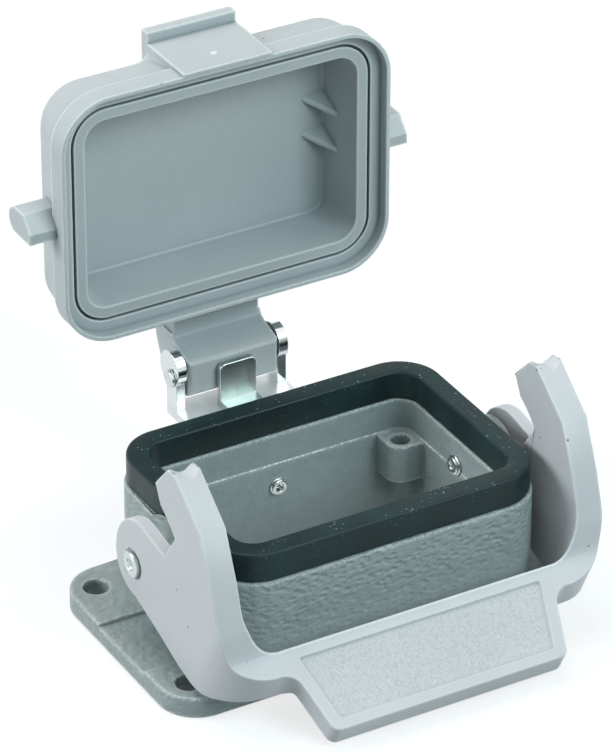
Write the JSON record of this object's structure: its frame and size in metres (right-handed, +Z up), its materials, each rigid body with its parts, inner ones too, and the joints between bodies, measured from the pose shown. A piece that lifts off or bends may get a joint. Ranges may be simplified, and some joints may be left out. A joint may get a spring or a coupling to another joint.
{
  "type": "rectangular connector housing",
  "caption": "Panel-mount housing of a rectangular multi-pole connector, with a rim seal, a hinged protective cover standing open and a locking lever across the front.",
  "frame": {"origin": "centre of the mounting face that lies on the panel", "axes": "+Z up out of the panel, +Y towards the cover's hinge, +X along the flange"},
  "size_m": [0.0796, 0.088, 0.0866],
  "materials": {
    "cast_housing": "hammertone grey powder coat on die-cast aluminium",
    "lever_grey": "smooth light grey, fine grain in the grip field",
    "cover_grey": "smooth light grey moulding",
    "seal_rubber": "satin black",
    "bright_steel": "bright plated sheet steel",
    "plated_steel": "plated steel"
  },
  "bodies": {
    "housing_body": {"housing": "cast_housing", "rim_seal": "seal_rubber", "flange_seal": "seal_rubber", "lever_rivet_left": "plated_steel", "lever_rivet_right": "plated_steel", "rivet_washer_left": "plated_steel", "rivet_washer_right": "plated_steel", "hinge_bracket": "bright_steel", "hinge_spring": "bright_steel", "hinge_pin": "plated_steel", "bracket_rivet": "plated_steel", "bracket_washer": "plated_steel"},
    "cover_body": {"cover": "cover_grey"},
    "lever_body": {"locking_lever": "lever_grey"}
  },
  "joints": [
    {"name": "cover_hinge", "type": "hinge", "parent": "housing_body", "child": "cover_body", "pos_m": [0, 0.0344, 0.0271], "axis": [1, 0, 0], "range_deg": [0, 90], "deforming": ["hinge_spring"]},
    {"name": "lever_hinge", "type": "hinge", "parent": "housing_body", "child": "lever_body", "pos_m": [0, 0.0007, 0.0173], "axis": [-1, 0, 0], "range_deg": [0, 36]}
  ]
}
